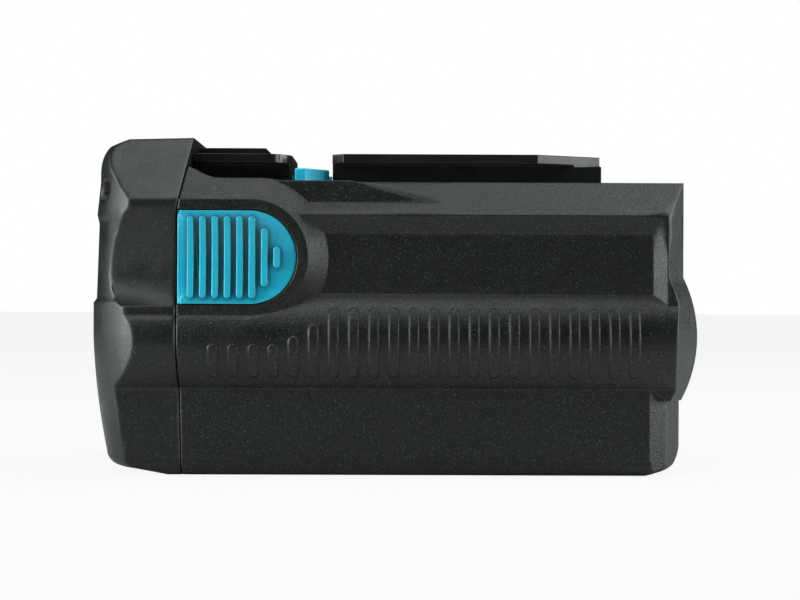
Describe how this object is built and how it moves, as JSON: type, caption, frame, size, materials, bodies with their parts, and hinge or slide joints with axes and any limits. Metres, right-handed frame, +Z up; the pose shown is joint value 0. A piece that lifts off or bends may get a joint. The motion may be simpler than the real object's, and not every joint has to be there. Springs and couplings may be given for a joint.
{
  "type": "power tool battery pack",
  "caption": "Slide-on battery pack for a power tool: ribbed charcoal housing, T rails on top and a spring-loaded release button with a latch hook on each side.",
  "frame": {"origin": "centre of the bounding box's underside, on the surface that the pack stands on", "axes": "+X towards the nose, which enters the tool first; +Z up through the rails; +Y to the left of someone looking towards the nose"},
  "size_m": [0.1686, 0.0852, 0.0929],
  "materials": {
    "housing_plastic": "fine spark-eroded grain, charcoal",
    "cap_plastic": "finer grain than the housing, charcoal",
    "rail_plastic": "smooth black, slightly worn",
    "latch_plastic": "satin blue",
    "cell_sleeve": "shrunk film",
    "holder_plastic": "moulded natural white",
    "frame_plastic": "moulded black",
    "nickel_strip": "rolled",
    "insulation_sheet": "fibre sheet",
    "board_laminate": "solder resist",
    "chip_resin": "moulded resin",
    "capacitor_sleeve": "shrunk sleeve",
    "terminal_plastic": "glass-filled, black",
    "contact_metal": "stamped, bright",
    "sensor_resin": "dipped resin",
    "foam": "closed-cell foam",
    "screw_steel": "zinc plated",
    "spring_steel": "drawn wire"
  },
  "bodies": {
    "pack": {"housing_shell": "housing_plastic", "end_cap": "cap_plastic", "cap_screws": "screw_steel", "main_rail": "rail_plastic", "rear_rail": "rail_plastic", "rail_screws": "screw_steel", "cells_top": "cell_sleeve", "cells_middle": "cell_sleeve", "cells_bottom": "cell_sleeve", "cell_holder_left": "holder_plastic", "cell_holder_right": "holder_plastic", "busbars_left": "nickel_strip", "busbars_right": "nickel_strip", "positive_tab": "nickel_strip", "negative_tab": "nickel_strip", "insulator_left": "insulation_sheet", "insulator_right": "insulation_sheet", "circuit_board": "board_laminate", "board_screws": "screw_steel", "power_transistors": "chip_resin", "board_chips": "chip_resin", "capacitors": "capacitor_sleeve", "terminal_block": "terminal_plastic", "power_contacts": "contact_metal", "signal_contacts": "contact_metal", "temperature_sensor": "sensor_resin", "nose_pad": "foam", "latch_frame": "frame_plastic", "frame_screws": "screw_steel", "button_spring_left": "spring_steel", "button_spring_right": "spring_steel"},
    "left_release_body": {"release_button_left": "latch_plastic", "latch_slider_left": "latch_plastic"},
    "right_release_body": {"release_button_right": "latch_plastic", "latch_slider_right": "latch_plastic"}
  },
  "joints": [
    {"name": "left_release", "type": "slide", "parent": "pack", "child": "left_release_body", "axis": [0, -1, 0], "range_m": [0, 0.0034], "stiffness_N_per_m": 600, "springref_m": -0.004, "deforming": ["button_spring_left"]},
    {"name": "right_release", "type": "slide", "parent": "pack", "child": "right_release_body", "axis": [0, 1, 0], "range_m": [0, 0.0034], "stiffness_N_per_m": 600, "springref_m": -0.004, "deforming": ["button_spring_right"]}
  ]
}
